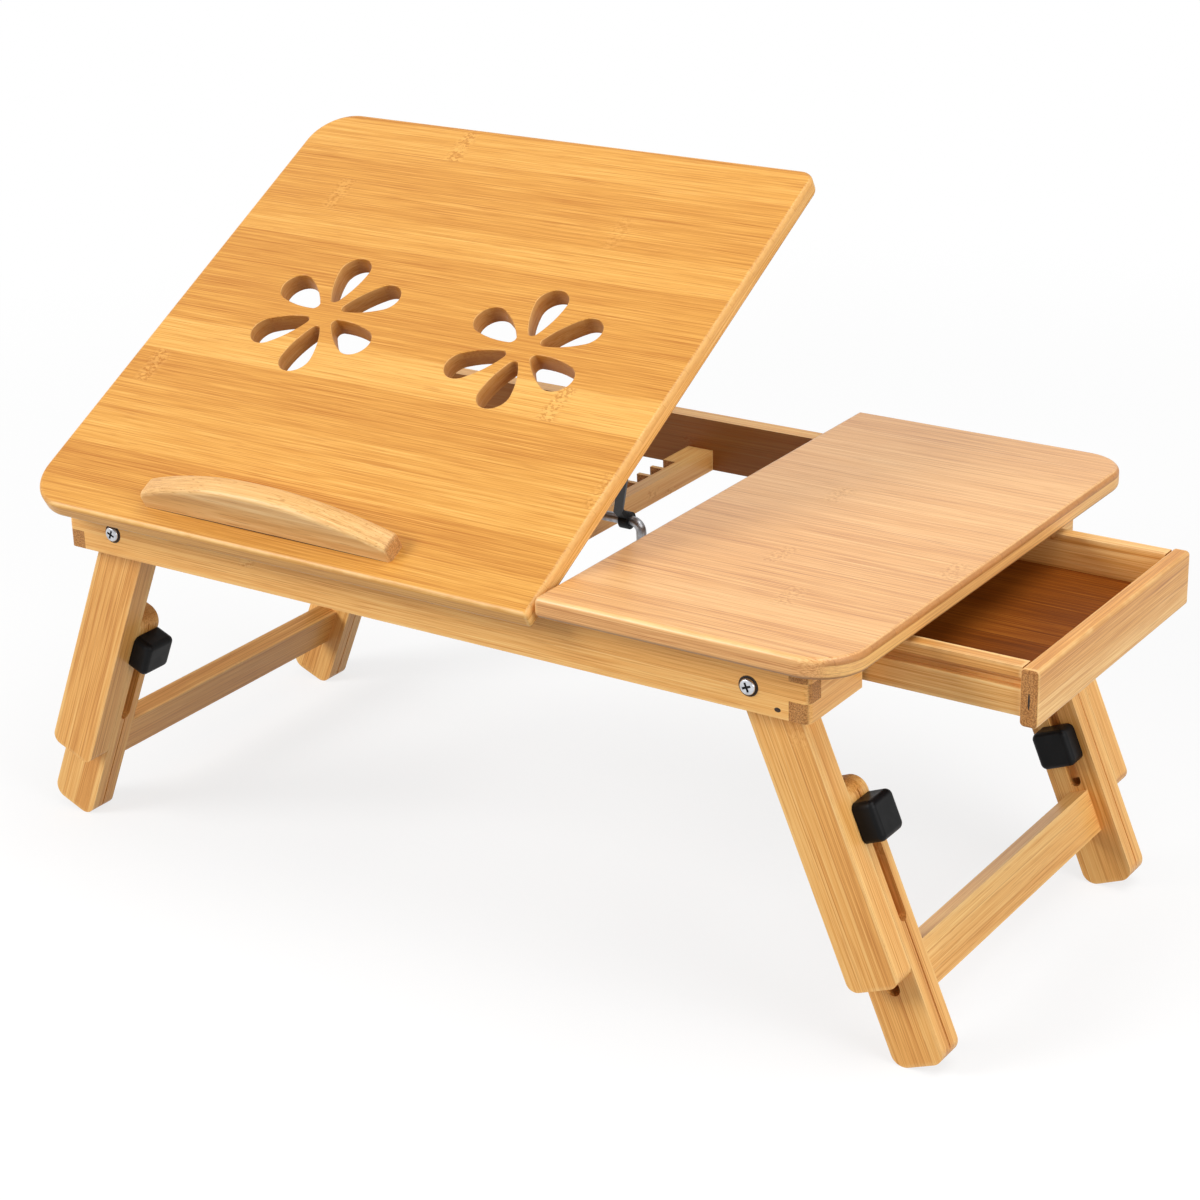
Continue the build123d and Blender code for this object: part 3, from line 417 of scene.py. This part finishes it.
print("bamboo on", len(bambooPieces), "pieces")


# moulded knobs: near-black, fine spark-eroded grain, rubbed shinier in soft patches
knobLook = {"deep": tone(9, 9, 10), "rubbed": tone(22, 22, 24), "rough": 0.46, "shine": 0.14, "grain": 2600.0,
            "patch": 70.0, "patchEdge": (0.35, 0.7), "scratch": (900.0, 120.0, 260.0), "scratchEdge": (0.60, 0.72),
            "bump": (0.18, 0.0001)}


def knobFinish(s):
    material, wire = newFinish("mouldedBlack")
    place = wire.coordinate("Object")
    grain = place.noise((s["grain"],) * 3, 2.0, 0.6)
    patch = place.noise((s["patch"],) * 3, 3.0, 0.55, 4.0).ease(*s["patchEdge"])
    scratch = place.noise(s["scratch"], 3.0, 0.6, 9.0).ease(*s["scratchEdge"])
    colour = wire.blend(patch * 0.5 + scratch * 0.25, s["deep"], s["rubbed"])
    rough = s["rough"] - patch * 0.10 + (grain - 0.5) * 0.12 + scratch * 0.08
    closeFinish(wire, {"Base Color": colour, "Roughness": rough, "Specular IOR Level": s["shine"],
                       "Normal": (grain - scratch * 0.6).bump(*s["bump"])})
    return material


# black coated steel: paint with slight orange peel and grey rubs
coatedLook = {"deep": tone(8, 8, 9), "rub": tone(52, 52, 54), "rough": 0.46, "shine": 0.2, "peel": 700.0,
              "patch": 160.0, "patchEdge": (0.62, 0.76), "bump": (0.15, 0.0002)}


def coatedFinish(s):
    material, wire = newFinish("blackCoatedSteel")
    place = wire.coordinate("Object")
    peel = place.noise((s["peel"],) * 3, 2.0, 0.5)
    rub = place.noise((s["patch"],) * 3, 4.0, 0.62, 3.0).ease(*s["patchEdge"])
    colour = wire.blend(rub * 0.6, s["deep"], s["rub"])
    closeFinish(wire, {"Base Color": colour, "Roughness": s["rough"] + peel * 0.14, "Metallic": rub * 0.4,
                       "Specular IOR Level": s["shine"], "Normal": peel.bump(*s["bump"])})
    return material


# drawn or plated metal: fine lines and a cloud of dulled patches
wireLook = {"bright": tone(176, 177, 180), "dull": tone(118, 118, 120), "rough": 0.30,
            "lines": (60.0, 1400.0, 1400.0), "cloud": 220.0, "cloudEdge": (0.38, 0.68), "bump": (0.10, 0.0001)}
zincLook = dict(wireLook, bright=tone(214, 216, 220), dull=tone(158, 160, 164), rough=0.20,
                lines=(500.0, 500.0, 500.0))


def metalTones(wire, place, s):
    line = place.noise(s["lines"], 3.0, 0.6)
    cloud = place.noise((s["cloud"],) * 3, 3.0, 0.55, 5.0).ease(*s["cloudEdge"])
    colour = wire.blend(cloud * 0.6 + line * 0.3, s["bright"], s["dull"])
    return line, colour, s["rough"] + line * 0.10 + cloud * 0.10


def metalFinish(name, s):
    material, wire = newFinish(name)
    line, colour, rough = metalTones(wire, wire.coordinate("Object"), s)
    closeFinish(wire, {"Base Color": colour, "Metallic": 1.0, "Roughness": rough, "Normal": line.bump(*s["bump"])})
    return material


# pivot bolt heads: the same zinc with painted shade in the cross recess, found by its depth below the head's top
# and by the way its floor and its walls look
boltLook = dict(zincLook, recessShadeTone=tone(16, 15, 14), face=0.1592, sunk=0.0003, floorFacing=(0.93, 0.98),
                wallFacing=(0.04, 0.12), wallDepth=(0.00135, 0.00145))


def boltFinish(s):
    material, wire = newFinish("boltHead")
    place = wire.coordinate("Object")
    depth = s["face"] - abs(place.parts()[1])
    square = abs(wire.coordinate("Normal").parts()[1])
    floor = square.ease(*s["floorFacing"]) * depth.ease(s["sunk"], 2 * s["sunk"])
    wall = (1 - square.ease(*s["wallFacing"])) * (1 - depth.ease(*s["wallDepth"]))
    recessShade = floor.most(wall)
    line, clean, rough = metalTones(wire, place, s)
    colour = wire.blend(recessShade * (0.8 + line * 0.3), clean, s["recessShadeTone"])
    closeFinish(wire, {"Base Color": colour, "Metallic": 1 - recessShade, "Roughness": rough + recessShade * 0.4,
                       "Normal": line.bump(*s["bump"])})
    return material


mouldedBlack = knobFinish(knobLook)
boltHead = boltFinish(boltLook)
blackCoated = coatedFinish(coatedLook)
drawnWire = metalFinish("drawnWire", wireLook)
zincPlate = metalFinish("zincPlate", zincLook)
for name in nodes:
    if name.startswith("knob_"):
        dress(name, mouldedBlack)
    elif name.startswith(("prop_arm", "prop_bracket")):
        dress(name, blackCoated)
    elif name == "prop_rod":
        dress(name, drawnWire)
    elif name == "pivot_bolts":
        dress(name, boltHead)
    elif name.startswith(("pivot_", "hinge_", "prop_pins", "clamp_bolt")):
        dress(name, zincPlate)
print("metal and plastic done")


# dark finish of the small marks that are painted shade and shadow: dark brown with specks
shadeMarkLook = {"deep": tone(34, 24, 16), "edge": tone(84, 56, 32), "rough": 0.72, "speck": 1800.0,
            "speckEdge": (0.45, 0.75), "bump": (0.3, 0.0001)}


def shadeMarkFinish(s):
    material, wire = newFinish("shadeMark")
    speck = wire.coordinate("Object").noise((s["speck"],) * 3, 3.0, 0.6)
    colour = wire.blend(speck.ease(*s["speckEdge"]), s["deep"], s["edge"])
    closeFinish(wire, {"Base Color": colour, "Roughness": s["rough"] + speck * 0.15,
                       "Normal": speck.bump(*s["bump"])})
    return material


shadeMark = shadeMarkFinish(shadeMarkLook)


# points nearer than this are merged
mergeGap = 1e-7


# a closed grid of points, wrapped round its second way, becomes a mesh piece on a body
def surfacePiece(name, grid, body, material):
    rows, columns = grid.shape[:2]
    index = np.arange(rows * columns).reshape(rows, columns)
    beside = np.roll(index, -1, axis=1)
    quads = np.stack([index[:-1], beside[:-1], beside[1:], index[1:]], -1).reshape(-1, 4)
    mesh = bpy.data.meshes.new(name)
    mesh.from_pydata(grid.reshape(-1, 3).tolist(), [], quads.tolist())
    shell = bmesh.new()
    shell.from_mesh(mesh)
    bmesh.ops.remove_doubles(shell, verts=shell.verts, dist=mergeGap)
    bmesh.ops.recalc_face_normals(shell, faces=shell.faces)
    shell.to_mesh(mesh)
    shell.free()
    mesh.polygons.foreach_set("use_smooth", np.ones(len(mesh.polygons), bool))
    mesh.materials.append(material)
    piece = bpy.data.objects.new(name, mesh)
    scene.collection.objects.link(piece)
    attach(piece, body)


# rim: radius mid + half cos u round the bolt at angle t, raised along y by height sin u
def rimGrid(s, centre):
    u, t = np.meshgrid(np.linspace(0, 2 * np.pi, 17), np.linspace(0, 2 * np.pi, 49)[:-1], indexing="ij")
    radius = s["mid"] + s["half"] * np.cos(u)
    return centre + np.stack([radius * np.cos(t), s["height"] * np.sin(u), radius * np.sin(t)], -1)


# mark: a lens of half sizes wide along x and tall along above, raised along out by height sin u
def markGrid(s, above, out):
    u, t = np.meshgrid(np.linspace(-np.pi / 2, np.pi / 2, 13), np.linspace(0, 2 * np.pi, 33)[:-1], indexing="ij")
    wide, tall, rise = s["wide"] * np.cos(u) * np.cos(t), s["tall"] * np.cos(u) * np.sin(t), s["height"] * np.sin(u)
    shares = np.stack([wide, tall, rise], -1)
    return np.array(s["place"]) + shares @ np.array([alongX, above, out], float)


# painted shadow: dark rims that stand in for the shaded gap the pivot bolts sit in
rimShadowSet = {"mid": 0.0052, "half": 0.0006, "height": 0.0004, "head": 0.0046, "face": 0.157}
boltLow, boltHigh = (np.array(corner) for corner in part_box("pivot_bolts"))
for side, pivotX in (("left", boltLow[0] + rimShadowSet["head"]), ("right", boltHigh[0] - rimShadowSet["head"])):
    for near, sign in (("front", -1.0), ("back", 1.0)):
        centre = np.array([pivotX, sign * rimShadowSet["face"], (boltLow[2] + boltHigh[2]) / 2])
        surfacePiece("pivotRim_" + near + "_" + side, rimGrid(rimShadowSet, centre), "frame", shadeMark)

# painted shade and shadow: a dark lens for the shade in the pin hole beside the right front finger joint, one for
# the shade in the slot in the drawer front's near end, and one for the contact shadow along the foot of the book
# stop
pinHoleShadeSet = {"wide": 0.0019, "tall": 0.0013, "height": 0.00012, "place": (0.2185, -0.157, 0.2056)}
slotShadeSet = {"wide": 0.0006, "tall": 0.0046, "height": 0.00010, "place": (0.3310, -0.1012, 0.2140)}
stopShadowSet = {"wide": 0.0880, "tall": 0.00055, "height": 0.00020, "place": (-0.1070, -0.16873, 0.243225)}
outFront = (0, -1, 0)
outStop = tuple(-part for part in upPanel)
for name, s, above, out, body, slotName in (("pinEnd", pinHoleShadeSet, alongZ, outFront, "frame", "frame_bamboo"),
                                            ("drawerCheck", slotShadeSet, alongZ, outFront, "drawer", "drawer_bamboo"),
                                            ("stopJoint", stopShadowSet, offPanel, outStop, "tilt_top", "stop_bamboo")):
    surfacePiece(name, markGrid(s, above, out), body, shadeMark)
print("rims and marks added")


# floor, world and lamps; a lamp has its name, place, aim, size and power
studioSet = {"floorSize": 9.0, "floorSeen": (0.95, 0.95, 0.95, 1.0), "floorBounce": (0.4, 0.4, 0.4, 1.0),
             "glowNear": 0.76, "glowFar": 1.0, "glowStart": 0.55, "glowEnd": 1.5, "ambient": 0.34,
             "lamps": [("overhead", (0.70, -0.10, 2.3), (0.1, 0, 0.2), 1.7, 26.0),
                       ("frontLeft", (-1.9, -2.2, 1.7), (0, 0, 0.2), 1.6, 72.0),
                       ("right", (2.4, -0.6, 1.2), (0.1, 0, 0.2), 1.6, 30.0)]}


# 1 for rays that show the background itself
def shownRays(wire):
    rays = wire.make("ShaderNodeLightPath").socket.node.outputs
    camera, glossy, through = [Wire(wire.tree, rays[key])
                               for key in ("Is Camera Ray", "Is Glossy Ray", "Is Transmission Ray")]
    return camera.most(glossy).most(through)


def buildStudio(s):
    reach = s["floorSize"] / 2
    mesh = bpy.data.meshes.new("studioFloor")
    corners = [(-reach, -reach, 0), (reach, -reach, 0), (reach, reach, 0), (-reach, reach, 0)]
    mesh.from_pydata(corners, [], [(0, 1, 2, 3)])
    floor = bpy.data.objects.new("studioFloor", mesh)
    scene.collection.objects.link(floor)
    material, wire = newFinish("paleFloor")
    shown = shownRays(wire)
    away = wire.make("ShaderNodeVectorMath", {"operation": "LENGTH"}, {0: wire.coordinate("Object")}, "Value")
    glowShare = s["glowNear"] + away.ease(s["glowStart"], s["glowEnd"]) * (s["glowFar"] - s["glowNear"])
    matt = wire.make("ShaderNodeBsdfDiffuse", None, {"Color": s["floorSeen"]})
    dull = wire.make("ShaderNodeBsdfDiffuse", None, {"Color": s["floorBounce"]})
    glow = wire.make("ShaderNodeEmission", None, {"Color": (1, 1, 1, 1), "Strength": 1.0})
    lit = wire.make("ShaderNodeMixShader", None, {0: glowShare, 1: matt, 2: glow})
    ground = wire.make("ShaderNodeMixShader", None, {0: shown, 1: dull, 2: lit})
    wire.make("ShaderNodeOutputMaterial", None, {"Surface": ground})
    mesh.materials.append(material)

    world = bpy.data.worlds.new("studioWorld")
    scene.world = world
    world.use_nodes = True
    world.node_tree.nodes.clear()
    wire = Wire(world.node_tree)
    dim = wire.make("ShaderNodeBackground", None, {"Color": (1, 1, 1, 1), "Strength": s["ambient"]})
    white = wire.make("ShaderNodeBackground", None, {"Color": (1, 1, 1, 1), "Strength": 1.0})
    sky = wire.make("ShaderNodeMixShader", None, {0: shownRays(wire), 1: dim, 2: white})
    wire.make("ShaderNodeOutputWorld", None, {"Surface": sky})

    for name, place, aim, size, power in s["lamps"]:
        data = bpy.data.lights.new(name, "AREA")
        data.shape = "DISK"
        data.size = size
        data.energy = power
        lamp = bpy.data.objects.new(name, data)
        scene.collection.objects.link(lamp)
        away = np.array(place, float) - np.array(aim, float)
        away = away / np.linalg.norm(away)
        flat = np.cross((0.0, 1.0, 0.001), away)
        flat = flat / np.linalg.norm(flat)
        lamp.matrix_world = placing([flat, np.cross(away, flat), away], place)


buildStudio(studioSet)
print("studio built")
